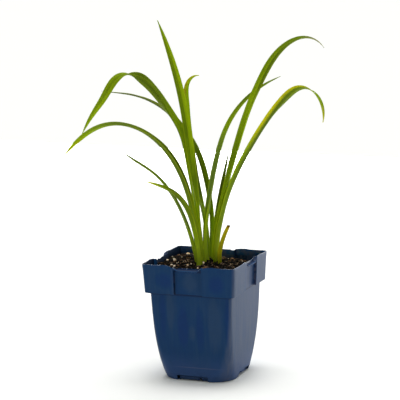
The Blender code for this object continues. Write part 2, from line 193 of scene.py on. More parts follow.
def loft(bm, rings):
    """Skin a closed solid through rings of points, each extruded from the one before."""
    ring = bmesh.ops.create_circle(bm, segments=len(rings[0]), radius=1.0)["verts"]
    for vert, point in zip(ring, rings[0]):
        vert.co = point
    bmesh.ops.contextual_create(bm, geom=ring)
    for points in rings[1:]:
        edges = [bm.edges.get((ring[i - 1], ring[i])) for i in range(len(ring))]
        grown = bmesh.ops.extrude_edge_only(bm, edges=edges)["geom"]
        old = set(ring)
        above = {}
        for vert in (item for item in grown if isinstance(item, bmesh.types.BMVert)):
            for edge in vert.link_edges:
                if edge.other_vert(vert) in old:
                    above[edge.other_vert(vert)] = vert
        ring = [above[vert] for vert in ring]
        for vert, point in zip(ring, points):
            vert.co = point
    bmesh.ops.contextual_create(bm, geom=ring)


def finished(name, bm, sharp=40.0):
    """Turn a bmesh into a smooth shaded object whose faces point outwards."""
    bmesh.ops.recalc_face_normals(bm, faces=bm.faces)
    mesh = bpy.data.meshes.new(name)
    bm.to_mesh(mesh)
    bm.free()
    piece = bpy.data.objects.new(name, mesh)
    bpy.context.scene.collection.objects.link(piece)
    mesh.shade_smooth()
    mesh.set_sharp_from_angle(angle=math.radians(sharp))
    return piece


def settle(piece, sharp=40.0):
    """Keep the shape that a piece's modifiers give it as its own mesh."""
    bpy.context.view_layer.update()
    seen = piece.evaluated_get(bpy.context.evaluated_depsgraph_get())
    mesh = bpy.data.meshes.new_from_object(seen)
    piece.modifiers.clear()
    piece.data = mesh
    mesh.shade_smooth()
    mesh.set_sharp_from_angle(angle=math.radians(sharp))


def band_half(z):
    """Half width of the band at height z."""
    return RIM_WIDTH / 2 - BAND_DRAFT * (POT_HEIGHT - z) / (POT_HEIGHT - BAND_BOTTOM)


def wall_rings(inset):
    """Rings of the wall from the floor to the top of the panels, moved in by inset."""
    half, radius = body_section(0.0)
    edge = max(FOOT_EDGE - inset, THINNEST_EDGE)
    rings = []
    for step in range(4):
        angle = math.pi / 6 * step
        shrink = edge * (1 - math.sin(angle))
        rise = inset + edge * (1 - math.cos(angle))
        rings.append(pot_ring(inset, half - shrink, radius - shrink, 0.0, lambda spot, side, z=rise: z))
    levels = [BAND_BOTTOM * (share / 24) ** 1.15 for share in range(2, 24)]
    for z in levels + [BAND_BOTTOM + inset - 0.4 * MM, BAND_BOTTOM + inset]:
        half, radius = body_section(min(z, BAND_BOTTOM))
        rings.append(pot_ring(inset, half, radius, 0.0, lambda spot, side, z=z: z))
    step_edge = BAND_EDGE if inset == 0.0 else 0.0
    for share in (0.0, 0.015, 0.04, 0.2, 0.4, 0.6, 0.8, 1.0):
        z = BAND_BOTTOM + inset + (PANEL_TOP - BAND_BOTTOM - inset) * share
        half = band_half(z) - (step_edge if share == 0.0 else 0.0)
        rings.append(pot_ring(inset, half, BAND_CORNER, PANEL_DEPTH, lambda spot, side, z=z: z))
    return rings


def lip_rings():
    """The outside of the rim: up the panel, out along the lip's underside, and its edge.

    Each stop has the share of the panel's depth that is left, how far the ring is under
    the rim in mm or inside it, and how far it goes down to the lip, from 0 to 1.
    """
    half = RIM_WIDTH / 2
    rings = []
    underside = (
        (1.00, 2.6, 0.0), (1.00, 1.9, 0.0), (0.92, 1.55, 0.0), (0.70, 1.38, 0.3), (0.40, 1.22, 0.7),
        (0.12, 1.1, 1.0), (-0.02, 0.95, 1.0), (-0.06, 0.5, 1.0), (-0.05, 0.12, 1.0), (0.02, 0.0, 1.0),
    )
    for recess, under, out in underside:

        def height(spot, side, under=under, out=out):
            inner = inner_rim(spot, side)
            return inner + (outer_rim(spot, side) - inner) * out - under * MM

        rings.append(pot_ring(0.0, half, BAND_CORNER, PANEL_DEPTH * recess, height))
    upper_side = ((0.3, 0.97, 0.08), (0.6, 0.88, 0.16), (0.86, 0.66, 0.25), (0.98, 0.32, 0.35))
    for recess, out, inset in upper_side:

        def height(spot, side, out=out):
            inner = inner_rim(spot, side)
            return inner + (outer_rim(spot, side) - inner) * out

        rings.append(pot_ring(inset * MM, half, BAND_CORNER, PANEL_DEPTH * recess, height))
    inner_edge = ((0.6, 0.0), (0.95, 0.05), (1.15, 0.3))
    for inset, under in inner_edge:

        def height(spot, side, under=under):
            return inner_rim(spot, side) - under * MM

        rings.append(pot_ring(inset * MM, half, BAND_CORNER, PANEL_DEPTH, height))
    return rings


def foot_boxes(bm, width, near, depth, low, high, centres):
    """A box at the foot of each of the pot's sides, from near to depth behind its face."""
    half = body_section(0.0)[0]
    for side in range(4):
        size = Vector((width, depth - near, high - low))
        middle = Vector((centres[side] * MM, near + size.y / 2 - half, low + size.z / 2))
        turn = Matrix.Rotation(side * math.pi / 2, 4, "Z")
        where = turn @ Matrix.Translation(middle) @ Matrix.Diagonal((*size, 1.0))
        bmesh.ops.create_cube(bm, size=1.0, matrix=where)


class Wire:
    """A link in a material's nodes. Sums written with it add Math nodes."""

    def __init__(self, tree, socket):
        self.tree = tree
        self.socket = socket

    def node(self, kind, settings, values, outlet=0):
        """Add a node: its settings first, then the values or links of its sockets."""
        node = self.tree.nodes.new(kind)
        for name, value in settings.items():
            if name == "stops":
                ramp = node.color_ramp
                ramp.elements[0].position = value[0][0]
                ramp.elements[1].position = value[-1][0]
                for position, colour in value[1:-1]:
                    ramp.elements.new(position)
                for element, (position, colour) in zip(ramp.elements, value):
                    element.color = (*colour, 1.0)
            else:
                setattr(node, name, value)
        for name, value in values.items():
            if isinstance(value, Wire):
                self.tree.links.new(value.socket, node.inputs[name])
            else:
                node.inputs[name].default_value = value
        return Wire(self.tree, node.outputs[outlet])

    def math(self, operation, *values):
        return self.node("ShaderNodeMath", {"operation": operation}, dict(enumerate(values)))

    def __add__(self, other):
        return self.math("ADD", self, other)

    def __radd__(self, other):
        return self.math("ADD", other, self)

    def __sub__(self, other):
        return self.math("SUBTRACT", self, other)

    def __rsub__(self, other):
        return self.math("SUBTRACT", other, self)

    def __mul__(self, other):
        return self.math("MULTIPLY", self, other)

    def __rmul__(self, other):
        return self.math("MULTIPLY", other, self)

    def __abs__(self):
        return self.math("ABSOLUTE", self)

    def larger(self, other):
        return self.math("MAXIMUM", self, other)

    def smaller(self, other):
        return self.math("MINIMUM", self, other)

    def ramp(self, low, high):
        """Rise smoothly from 0 at low to 1 at high."""
        settings = {"interpolation_type": "SMOOTHSTEP", "clamp": True}
        values = {"Value": self, "From Min": low, "From Max": high}
        return self.node("ShaderNodeMapRange", settings, values)

    def hill(self, start, crest, brink, end):
        """Rise from 0 at start to 1 at crest, and fall from 1 at brink to 0 at end."""
        return self.ramp(start, crest) * (1 - self.ramp(brink, end))

    def stops(self, *stops):
        """Read a colour from stops of (place, colour)."""
        return self.node("ShaderNodeValToRGB", {"stops": stops}, {0: self})

    def painted(self, name):
        """The number that paint() kept on each vertex under this name."""
        return self.node("ShaderNodeAttribute", {"attribute_name": name}, {}, "Fac")

    def axis(self, name):
        return self.node("ShaderNodeSeparateXYZ", {}, {0: self}, name)

    def noise(self, scale, detail=3.0, stretch=(1.0, 1.0, 1.0)):
        """Smooth noise from 0 to 1, in spots of about 1 / scale metres."""
        moved = self.node("ShaderNodeMapping", {}, {"Vector": self, "Scale": stretch})
        values = {"Vector": moved, "Scale": scale, "Detail": detail}
        return self.node("ShaderNodeTexNoise", {}, values)

    def tint(self, colour, factor):
        """Lay a colour, or a wire of colours, over this one."""
        if not isinstance(colour, Wire):
            colour = (*colour, 1.0)
        settings = {"data_type": "RGBA", "blend_type": "MIX"}
        return self.node("ShaderNodeMix", settings, {0: factor, 6: self, 7: colour}, 2)


def finish(name, roughness, specular):
    """A new material: its Principled node, and a wire that its nodes grow from."""
    material = bpy.data.materials.new(name)
    material.use_nodes = True
    shader = material.node_tree.nodes["Principled BSDF"]
    shader.inputs["Roughness"].default_value = roughness
    shader.inputs["Specular IOR Level"].default_value = specular
    spots = Wire(material.node_tree, None).node("ShaderNodeTexCoord", {}, {}, "Object")
    return material, shader, spots


def feed(shader, name, wire):
    wire.tree.links.new(wire.socket, shader.inputs[name])


def emboss(shader, height, distance):
    """Raise or sink the surface by a wire of heights from 0 to 1."""
    bump = height.node("ShaderNodeBump", {}, {"Height": height, "Distance": distance})
    feed(shader, "Normal", bump)


def soft_spot(across, height, middle, level, half_width, half_height):
    """1 in the middle of an upright oval, falling to 0 at its edge. Sizes are in mm."""
    sideways = (across - middle * MM) * (1 / (half_width * MM))
    upwards = (height - level * MM) * (1 / (half_height * MM))
    return 1 - (sideways * sideways + upwards * upwards).ramp(0.0, 1.0)


def soft_spots(across, height, marks):
    """The strongest of several soft ovals."""
    strongest = soft_spot(across, height, *marks[0])
    for mark in marks[1:]:
        strongest = strongest.larger(soft_spot(across, height, *mark))
    return strongest


# Darker and lighter patches on the front, as (middle, level, half width, half height) in mm.
FLOW_MARKS = (
    (-35, 78, 6, 36), (-10, 66, 9, 30), (11, 62, 7, 34),
    (45, 70, 5, 40), (-30, 120, 14, 12), (35, 118, 12, 14),
)
SMEARS = (
    (-25, 84, 6, 30), (1, 58, 5, 12), (29, 70, 10, 44),
    (-50, 40, 8, 40), (0, 118, 12, 14),
)
CREASE_LEVEL = 16.5 * MM
LOW_BLUE = (0.036, 0.080, 0.215)
EDGE_DUST_AND_SHEEN = (0.078, 0.100, 0.165)
FACE_DUST_AND_SHEEN = (0.095, 0.105, 0.138)
SCUFF = (0.075, 0.085, 0.120)
SHADE_BLUE = (0.0010, 0.010, 0.045)
CREASE_BLUE = (0.090, 0.110, 0.210)
INNER_DUST = (0.042, 0.050, 0.100)
PAINTED_LEE_SHADE = (0.0010, 0.0110, 0.0400)
PAINTED_LEDGE_LIGHT = (0.020, 0.120, 0.360)


def painted_shade_lines(across, height, corner):
    """1 where shade is painted: the dark lines under the band and the lips and beside the panels."""
    face = across + (POT_HEIGHT - height) * (BAND_DRAFT / (POT_HEIGHT - BAND_BOTTOM))
    under_band = height.hill(100.8 * MM, 103.2 * MM, BAND_BOTTOM, BAND_BOTTOM + 0.3 * MM)
    under_band = under_band * (1 - across.ramp(52.4 * MM, 53.4 * MM))
    under_lip = face.hill(52.4 * MM, 52.9 * MM, 55.0 * MM, 55.6 * MM)
    under_lip = under_lip * height.ramp(129.6 * MM, 131.2 * MM)
    panel_end = face.hill(53.5 * MM, 54.3 * MM, 55.9 * MM, 56.6 * MM)
    panel_end = panel_end * height.hill(BAND_BOTTOM, BAND_BOTTOM + 1 * MM, PANEL_TOP, 132 * MM)
    return under_band.larger(under_lip).larger(panel_end * (1 - corner))


def blue_plastic():
    """Dark blue moulded plastic: cloudy and streaked, with dust and painted sheen where it turns to the
    right, painted shade in its dark lines and unlit inner walls, and painted light on the left ledges.
    """
    material, shader, spots = finish("blue_plastic", 0.42, 0.13)
    x = spots.axis("X")
    y = spots.axis("Y")
    height = spots.axis("Z")
    across = abs(x).larger(abs(y))
    corner = abs(x).smaller(abs(y)).ramp(30 * MM, 34 * MM)
    turned = spots.painted("turned")
    facing = spots.painted("facing")
    lee = spots.painted("lee").ramp(0.2, 0.6)
    ledge = spots.painted("ledge").ramp(0.5, 0.8)
    cloud = spots.noise(28.0, 4.0, (1.0, 1.0, 0.35))
    streak = spots.noise(300.0, 3.0, (1.0, 1.0, 0.02))
    fleck = spots.noise(900.0, 3.0).ramp(0.66, 0.78)
    patches = soft_spots(x, height, SMEARS) - soft_spots(x, height, FLOW_MARKS)
    tone = cloud * 0.5 + streak * 0.3 + 0.1 + patches * facing * 0.22
    colour = tone.stops(
        (0.30, (0.0003, 0.030, 0.132)),
        (0.50, (0.0020, 0.038, 0.126)),
        (0.70, (0.0130, 0.048, 0.126)),
    )
    low = 1 - height.ramp(2 * MM, 38 * MM)
    colour = colour.tint(LOW_BLUE, low * 0.8)
    # Dust and painted sheen: faces that turn to the right are painted paler in streaks, most of all at
    # the rounded corners, as if lit from the right.
    wear_and_sheen = 0.45 + corner * (1 - turned.ramp(0.95, 1.0)) * 0.55
    dust_and_sheen = turned.ramp(0.12, 0.92) * wear_and_sheen * streak * 1.3
    flat = turned.ramp(0.93, 0.99)
    colour = colour.tint(EDGE_DUST_AND_SHEEN, dust_and_sheen * (1 - flat))
    colour = colour.tint(FACE_DUST_AND_SHEEN, dust_and_sheen * flat)
    colour = colour.tint(SCUFF, fleck * 0.2)
    # Painted shade in the dark lines under the band and the lips and beside the panels.
    colour = colour.tint(SHADE_BLUE, painted_shade_lines(across, height, corner) * 0.75)
    crease = 1 - abs(height - CREASE_LEVEL).ramp(0.2 * MM, 0.8 * MM)
    crease = crease * facing * soft_spot(x, height, 8, 16, 36, 30)
    colour = colour.tint(CREASE_BLUE, crease * 0.6)
    dust = spots.painted("within") * spots.noise(240.0, 4.0).ramp(0.38, 0.60)
    colour = colour.tint(INNER_DUST, dust * 0.85)
    # Painted shade on the inner walls and the left side's left ends, which no lamp reaches.
    colour = colour.tint(PAINTED_LEE_SHADE, lee * 0.94)
    # Painted light on the front ends of the ledges at the left wall, which sit in shade.
    colour = colour.tint(PAINTED_LEDGE_LIGHT, ledge * height.ramp(110 * MM, 112 * MM))
    feed(shader, "Base Color", colour)
    feed(shader, "Roughness", cloud * 0.16 + 0.34 + lee * 0.5)
    emboss(shader, spots.noise(260.0, 4.0) * 0.6 + streak * 0.4, 0.12 * MM)
    return material


def paint(piece, name, rule):
    """Keep a number from 0 to 1 on each vertex, by a rule on its normal and place."""
    values = piece.data.attributes.new(name, "FLOAT", "POINT").data
    for vertex, value in zip(piece.data.vertices, values):
        outside = vertex.normal.x * vertex.co.x + vertex.normal.y * vertex.co.y > 0
        value.value = max(0.0, rule(vertex.normal, vertex.co, outside))


def in_lee(normal, place, outside):
    """The inner walls and the left side's left ends, which no lamp reaches and which get painted shade.
    """
    inner_wall = not outside and abs(place.y) < 54 * MM
    return normal.x * (inner_wall or place.x < LEFT_BAND)


def painted_light_on_ledge(normal, place, outside):
    """The front ends of what stands out of the left wall, which get painted light."""
    return -normal.y * (normal.x > 0 and place.x < LEFT_BAND and abs(place.y) < 50 * MM)


bm = bmesh.new()
loft(bm, wall_rings(0.0) + lip_rings() + wall_rings(WALL)[::-1])
pot = finished("pot_moulding", bm)

# The foot: a raised channel of floor and its hollow, the low arch, the gap under it and
# the gate mark, as (operation, width, near, depth, low, high, centres) in mm.
foot_parts = (
    ("UNION", 38.4, 0.8, 17.0, 0.7, 4.3, CENTRED),
    ("DIFFERENCE", 36.0, 4.6, 15.8, -2.0, 2.8, CENTRED),
    ("DIFFERENCE", 38.0, -5.0, 3.4, -2.0, 6.0, ARCH_CENTRES),
    ("DIFFERENCE", 36.0, -5.0, 5.0, -2.0, 0.7, CENTRED),
    ("DIFFERENCE", 3.2, -5.0, 6.0, -2.0, 3.4, GATE_CENTRES),
)
for operation, width, near, depth, low, high, centres in foot_parts:
    bm = bmesh.new()
    foot_boxes(bm, width * MM, near * MM, depth * MM, low * MM, high * MM, centres)
    cutter = finished("foot_cutter", bm)
    modifier = pot.modifiers.new(operation, "BOOLEAN")
    modifier.operation = operation
    modifier.solver = "EXACT"
    modifier.object = cutter
    settle(pot)
    bpy.data.objects.remove(cutter)
paint(pot, "turned", lambda normal, place, outside: normal.x * outside)
paint(pot, "facing", lambda normal, place, outside: -normal.y * outside)
paint(pot, "lee", in_lee)
paint(pot, "ledge", painted_light_on_ledge)
paint(pot, "within", lambda normal, place, outside: 1.0 - outside)
pot.data.materials.clear()
pot.data.materials.append(blue_plastic())
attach(pot, "root")
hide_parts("pot")


# Soil: loose dark peat that fills the pot to just under its rim. It is heaped a little
# round the plant and banked up at the left wall, with a crumbly broken top.

CLUMP_CENTRE = Vector((1.5 * MM, 4.0 * MM, 131.0 * MM))
SOIL_LEVEL = 127.5 * MM
SOIL_FLOOR = 7.0 * MM
SOIL_GAP = 0.1 * MM
SOIL_RINGS = 96

# Heaps on the soil, as (x, y, height, spread along x, spread along y) in mm.
HEAPS = (
    (1.5, 4.0, 4.5, 34.0, 34.0), (1.5, 4.0, 2.6, 14.0, 14.0),
    (24.0, 24.0, 1.6, 17.0, 20.0), (-20.0, 36.0, 2.6, 18.0, 17.0),
)


def soil_height(x, y):
    """The soil's level at a place: heaps, a bank at the left, and low corners."""
    level = SOIL_LEVEL
    for middle_x, middle_y, high, wide, deep in HEAPS:
        off_x = (x / MM - middle_x) / wide
        off_y = (y / MM - middle_y) / deep
        level += high * MM * math.exp(-off_x ** 2 - off_y ** 2)
    level += 3.2 * MM * smooth((-10 * MM - x) / (38 * MM))
    level -= 1.5 * MM * smooth((x + y) / (90 * MM))
    level -= 2.5 * MM * smooth((math.hypot(x, y) - 52 * MM) / (18 * MM))
    rough = noise.noise(Vector((x, y, 0.0)) / (6 * MM))
    rough += 0.6 * noise.noise(Vector((x, y, 9.0)) / (2.7 * MM))
    calm = smooth((math.hypot(x - CLUMP_CENTRE.x, y - CLUMP_CENTRE.y) - 8 * MM) / (14 * MM))
    return level + 1.5 * MM * rough * (0.25 + 0.75 * calm)


def crumbly_height(x, y):
    """The soil's top with its small lumps and pits."""
    near = noise.voronoi(Vector((x, y, 0.0)) / (3.1 * MM))[0][0]
    fine = noise.voronoi(Vector((y, x, 5.0)) / (1.5 * MM))[0][0]
    lump = 1.9 * MM * max(0.0, 0.75 - near) + 0.8 * MM * max(0.0, 0.7 - fine)
    pit = 3.4 * MM * max(0.0, noise.noise(Vector((x, y, 3.0)) / (4.2 * MM)) - 0.2)
    return soil_height(x, y) + lump - pit - 0.4 * MM


def dark_peat():
    """Moist black peat with brown specks."""
    material, shader, spots = finish("dark_peat", 0.95, 0.1)
    grain = spots.noise(420.0, 6.0)
    patch = spots.noise(120.0, 3.0)
    colour = (grain * 0.75 + patch * 0.25).stops(
        (0.34, (0.0006, 0.0004, 0.0003)),
        (0.54, (0.0025, 0.0015, 0.0010)),
        (0.62, (0.0160, 0.0090, 0.0050)),
        (0.72, (0.1400, 0.0850, 0.0460)),
    )
    feed(shader, "Base Color", colour)
    emboss(shader, grain, 1.0 * MM)
    return material


def halved(points):
    """A ring with a new point between each two of its points."""
    full = []
    for point, after in zip(points, points[1:] + points[:1]):
        full += [point, (point + after) / 2]
    return full


inset = WALL + SOIL_GAP
rings = []
for z in (SOIL_FLOOR, 25 * MM, 50 * MM, 75 * MM, BAND_BOTTOM):
    half, radius = body_section(z)
    rings.append(pot_ring(inset, half, radius, 0.0, lambda spot, side, z=z: z))
half = RIM_WIDTH / 2 - BAND_DRAFT
over_step = BAND_BOTTOM + 2 * MM
rings.append(pot_ring(inset, half, BAND_CORNER, PANEL_DEPTH, lambda spot, side: over_step))
edge = pot_ring(inset, band_half(PANEL_TOP), BAND_CORNER, PANEL_DEPTH, lambda spot, side: 0.0)
rings = [halved(halved(points)) for points in rings]
edge = halved(halved(edge))
middle = Vector((CLUMP_CENTRE.x, CLUMP_CENTRE.y, 0.0))
for step in range(SOIL_RINGS):
    share = 1 - step / SOIL_RINGS
    points = [middle + (point - middle) * share for point in edge]
    rings.append([Vector((p.x, p.y, crumbly_height(p.x, p.y))) for p in points])
bm = bmesh.new()
loft(bm, rings)
soil = finished("soil_bed", bm, 80.0)
soil.data.materials.append(dark_peat())
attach(soil, "root")
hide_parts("soil")


# Bark, crumbs and fibres: reddish brown chips of bark, small lumps of peat and fine
# roots and threads, all loose in the top of the soil and half sunk in it.

BARK_CHIPS = 110
PEAT_CRUMBS = 900
ROOT_FIBRES = 190
FIBRE_HALF = 0.28 * MM
FIBRE_HEIGHT = 0.4 * MM
UP = Vector((0.0, 0.0, 1.0))


def on_soil(rng, reach=50 * MM, clear=9 * MM):
    """A seeded place on the soil, clear of the clump and the pot's wall."""
    while True:
        x = rng.uniform(-reach, reach)
        y = rng.uniform(-reach, reach)
        if math.hypot(x - CLUMP_CENTRE.x, y - CLUMP_CENTRE.y) > clear:
            return Vector((x, y, crumbly_height(x, y)))


def broken_lump(bm, rng, spot, size, detail, wear):
    """A rough lump: a small ball, or a block where detail is 0, squashed, worn and turned."""
    if detail:
        made = bmesh.ops.create_icosphere(bm, subdivisions=detail, radius=0.5)["verts"]
    else:
        first = len(bm.verts)
        corners = bmesh.ops.create_cube(bm, size=1.0)["verts"]
        edges = dict.fromkeys(edge for vert in corners for edge in vert.link_edges)
        bmesh.ops.subdivide_edges(bm, edges=list(edges), cuts=1, use_grid_fill=True)
        made = list(bm.verts)[first:]
    seed = Vector((rng.uniform(-50, 50), rng.uniform(-50, 50), rng.uniform(-50, 50)))
    turn = Matrix.Rotation(rng.uniform(0, math.tau), 4, "Z")
    for axis in ("X", "Y"):
        turn = turn @ Matrix.Rotation(rng.uniform(-0.5, 0.5), 4, axis)
    where = Matrix.Translation(spot) @ turn @ Matrix.Diagonal((*size, 1.0))
    for vert in made:
        vert.co += noise.noise_vector(vert.co * 1.7 + seed) * wear
        vert.co = where @ vert.co


def bark_brown(name, dark, light):
    """Dry plant matter, from dark to light in spots a few millimetres wide."""
    material, shader, spots = finish(name, 0.85, 0.15)
    grain = spots.noise(520.0, 5.0)
    patch = spots.noise(150.0, 2.0)
    colour = (grain * 0.35 + patch * 0.65).stops((0.49, dark), (0.62, light))
    feed(shader, "Base Color", colour)
    emboss(shader, grain, 0.3 * MM)
    return material


# The wear of the lumps would start from the clock if its noise had no seed of its own.
LOOSE_SEED = 11
noise.seed_set(LOOSE_SEED)
rng = random.Random(LOOSE_SEED)
bm = bmesh.new()
for index in range(BARK_CHIPS):
    long = rng.uniform(3.0, 9.0) * MM
    size = (long, long * rng.uniform(0.25, 0.5), rng.uniform(1.0, 2.2) * MM)
    broken_lump(bm, rng, on_soil(rng, clear=12 * MM), size, 0, 0.22)
bark = finished("bark_chips", bm, 30.0)
chip_skin = bark_brown("bark_brown", (0.0016, 0.0009, 0.0006), (0.1800, 0.0900, 0.0400))
bark.data.materials.append(chip_skin)
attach(bark, "root")

bm = bmesh.new()
for index in range(PEAT_CRUMBS):
    size = rng.uniform(0.9, 2.6) * MM
    broken_lump(bm, rng, on_soil(rng, reach=52 * MM), (size, size * 0.8, size * 0.7), 1, 0.25)
crumbs = finished("peat_crumbs", bm, 30.0)
crumb_skin = bark_brown("peat_crumb", (0.0006, 0.0004, 0.0003), (0.0900, 0.0500, 0.0260))
crumbs.data.materials.append(crumb_skin)
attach(crumbs, "root")

bm = bmesh.new()
for index in range(ROOT_FIBRES):
    spot = on_soil(rng, reach=49 * MM) + UP * 0.5 * MM
    heading = rng.uniform(0, math.tau)
    bend = rng.uniform(-0.5, 0.5)
    rings = []
    for step in range(7):
        heading += bend
        forward = Vector((math.cos(heading), math.sin(heading), 0.0))
        lift = 0.7 * MM * math.sin(step / 6 * math.pi) + crumbly_height(spot.x, spot.y) - spot.z
        side = forward.cross(UP) * FIBRE_HALF
        ring = [spot + side, spot + UP * FIBRE_HEIGHT, spot - side]
        rings.append([point + UP * lift for point in ring])
        spot = spot + forward * rng.uniform(0.9, 1.6) * MM
    loft(bm, rings)
fibres = finished("root_fibres", bm)
fibre_skin = bark_brown("dry_fibre", (0.0200, 0.0110, 0.0070), (0.4600, 0.3100, 0.2100))
fibres.data.materials.append(fibre_skin)
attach(fibres, "root")


# Perlite: light cream grains of puffed glass, mostly at the left and front of the soil.

# The larger grains, as (x, y, size) in mm.
GRAINS = (
    (-35.7, 34.8, 4.4), (-38.5, -1.0, 4.4), (-46.1, -4.4, 3.4), (-34.6, -19.6, 3.4),
    (-27.6, -27.9, 3.2), (-26.1, -14.9, 2.0), (-30.8, -7.6, 1.6), (-16.2, -15.4, 3.6),
    (-11.7, -14.9, 1.8), (-3.8, 0.0, 3.2), (1.1, -9.4, 4.4), (2.0, -29.0, 2.5),
    (-26.0, 27.4, 1.6), (-4.2, -4.9, 1.6), (-27.0, -2.1, 1.6), (30.2, 3.5, 1.8),
    (-48.5, 16.6, 1.8), (-30.2, -14.3, 1.4), (-37.7, 19.8, 1.4), (18.7, 0.8, 1.4),
    (-46.3, -13.3, 1.4), (34.0, 31.0, 2.2), (40.0, -22.0, 2.0), (14.0, 38.0, 2.6),
)
SMALL_GRAINS = 14


def puffed_cream():
    """Chalky cream with tan stains from the peat."""
    material, shader, spots = finish("puffed_cream", 0.9, 0.2)
    colour = spots.noise(300.0, 3.0).stops(
        (0.30, (0.560, 0.340, 0.180)),
        (0.42, (1.000, 0.700, 0.450)),
        (0.56, (1.000, 0.860, 0.700)),
    )
    feed(shader, "Base Color", colour)
    emboss(shader, spots.noise(1500.0, 3.0), 0.25 * MM)
    return material


bm = bmesh.new()
for x, y, size in GRAINS:
    spot = Vector((x * MM, y * MM, crumbly_height(x * MM, y * MM) + 0.25 * size * MM))
    broken_lump(bm, rng, spot, (size * MM, size * 0.85 * MM, size * 0.8 * MM), 3, 0.16)
for index in range(SMALL_GRAINS):
    size = rng.uniform(0.7, 1.5) * MM
    broken_lump(bm, rng, on_soil(rng, reach=50 * MM), (size, size, size * 0.8), 2, 0.18)
perlite = finished("perlite_grains", bm)
perlite.data.materials.append(puffed_cream())
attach(perlite, "root")


# Left low leaves: narrow young blades that arch out low to the left. Each leaf of the
# clump is a strap folded along its midrib, deep at the base and flatter to the tip.

# A leaf's base is across and behind from the clump's middle as the camera sees it, and its
# length and width are in mm. It leaves the clump along keel and turns to heading, both in
# degrees anticlockwise from +X. leans, twists and folds are degrees at even stations from
# base to tip: from upright, about the midrib, and of each half from flat.
Leaf = namedtuple("Leaf", "across behind keel heading length width leans twists folds")
BLADE_COLUMNS = 10
BLADE_THICKNESS = 0.7 * MM
EDGE_SHARE = 0.35
NARROWEST_HALF = 0.5 * MM
FEWEST_ROWS = 24
ROW_SPACING = 2.5
STEPS_A_ROW = 4
TURN_SHARE = 0.45
FOLD_ROUNDING = 0.10
FOLD_REACH = 0.905
ROOT_DEPTH = 9.0 * MM


def along(values, t):
    """Read a list of even stations as a smooth curve, t from 0 to 1."""
    last = len(values) - 1
    index = min(int(t * last), last - 1)
    f = t * last - index
    b, c = values[index], values[index + 1]
    a = values[index - 1] if index else 2 * b - c
    d = values[index + 2] if index + 2 <= last else 2 * c - b
    bend = (2 * a - 5 * b + 4 * c - d) * f ** 2 + (3 * b - a - 3 * c + d) * f ** 3
    return 0.5 * (2 * b + (c - a) * f + bend)


def blade_frames(leaf, steps):
    """Points along the midrib, with the blade's side and upper directions there."""
    turn = Matrix.Rotation(camera_turn, 3, "Z")
    point = CLUMP_CENTRE + turn @ Vector((leaf.across * MM, leaf.behind * MM, 0.0))
    step = leaf.length * MM / steps
    frames = []
    for index in range(steps * STEPS_A_ROW + 1):
        t = index / (steps * STEPS_A_ROW)
        lean = math.radians(along(leaf.leans, t))
        aim = math.radians(leaf.keel + (leaf.heading - leaf.keel) * smooth(t / TURN_SHARE))
        outwards = Vector((math.cos(aim), math.sin(aim), 0.0))
        forward = outwards * math.sin(lean) + UP * math.cos(lean)
        side = Vector((-math.sin(aim), math.cos(aim), 0.0))
        roll = Matrix.Rotation(math.radians(along(leaf.twists, t)), 3, forward)
        if index % STEPS_A_ROW == 0:
            frames.append((t, point.copy(), roll @ side, roll @ forward.cross(side)))
        point += forward * step / STEPS_A_ROW
    t, point, side, upper = frames[0]
    down = upper.cross(side) * ROOT_DEPTH
    return [(t, point - down * share, side, upper) for share in (1.0, 0.66, 0.33)] + frames


def grow_blade(name, leaf, material, blunt):
    """Lay a grid along the leaf, fold it, and give it a thickness that thins to the edges."""
    frames = blade_frames(leaf, max(FEWEST_ROWS, int(leaf.length / ROW_SPACING)))
    bm = bmesh.new()
    uv = bm.loops.layers.uv.new("blade")
    bmesh.ops.create_grid(bm, x_segments=BLADE_COLUMNS, y_segments=len(frames) - 1, size=1.0)
    bm.verts.ensure_lookup_table()
    seed = leaf.length * 7.1
    for row, (t, point, side, upper) in enumerate(frames):
        taper = 1 - 0.35 * t ** 4 if blunt else (1 - t ** 4) ** 0.8
        half = leaf.width * MM / 2 * (0.9 + 0.1 * smooth(t / 0.35)) * taper
        half = max(half, NARROWEST_HALF)
        fold = math.radians(along(leaf.folds, t))
        wave = noise.noise(Vector((t * leaf.length / 22.0, seed, 0.0))) * 0.03
        for column in range(BLADE_COLUMNS + 1):
            across = 2 * column / BLADE_COLUMNS - 1
            valley = (math.hypot(across, FOLD_ROUNDING) - FOLD_ROUNDING) / FOLD_REACH
            bow = 0.05 * math.sin(math.pi * abs(across)) * smooth(t / 0.2)
            edge_wave = wave * across * across * (1 if across > 0 else -1)
            lift = math.sin(fold) * (valley - 0.5) - bow + edge_wave
            spread = math.cos(fold) * across
            vert = bm.verts[row * (BLADE_COLUMNS + 1) + column]
            vert.co = point + side * half * spread + upper * half * lift
    for face in bm.faces:
        for loop in face.loops:
            row, column = divmod(loop.vert.index, BLADE_COLUMNS + 1)
            loop[uv].uv = (column / BLADE_COLUMNS, frames[row][0])
    mesh = bpy.data.meshes.new(name)
    bm.to_mesh(mesh)
    bm.free()
    piece = bpy.data.objects.new(name, mesh)
    bpy.context.scene.collection.objects.link(piece)
    body = piece.vertex_groups.new(name="body")
    for column in range(1, BLADE_COLUMNS):
        inside = min(column, BLADE_COLUMNS - column) / (BLADE_COLUMNS / 2)
        members = [row * (BLADE_COLUMNS + 1) + column for row in range(2, len(frames) - 2)]
        body.add(members, min(1.0, 0.45 + inside), "REPLACE")
    shell = piece.modifiers.new("Thickness", "SOLIDIFY")
    shell.thickness = BLADE_THICKNESS
    shell.offset = 0.0
    shell.vertex_group = "body"
    shell.thickness_vertex_group = EDGE_SHARE
    settle(piece, 65.0)
    piece.data.materials.clear()
    piece.data.materials.append(material)
    return piece


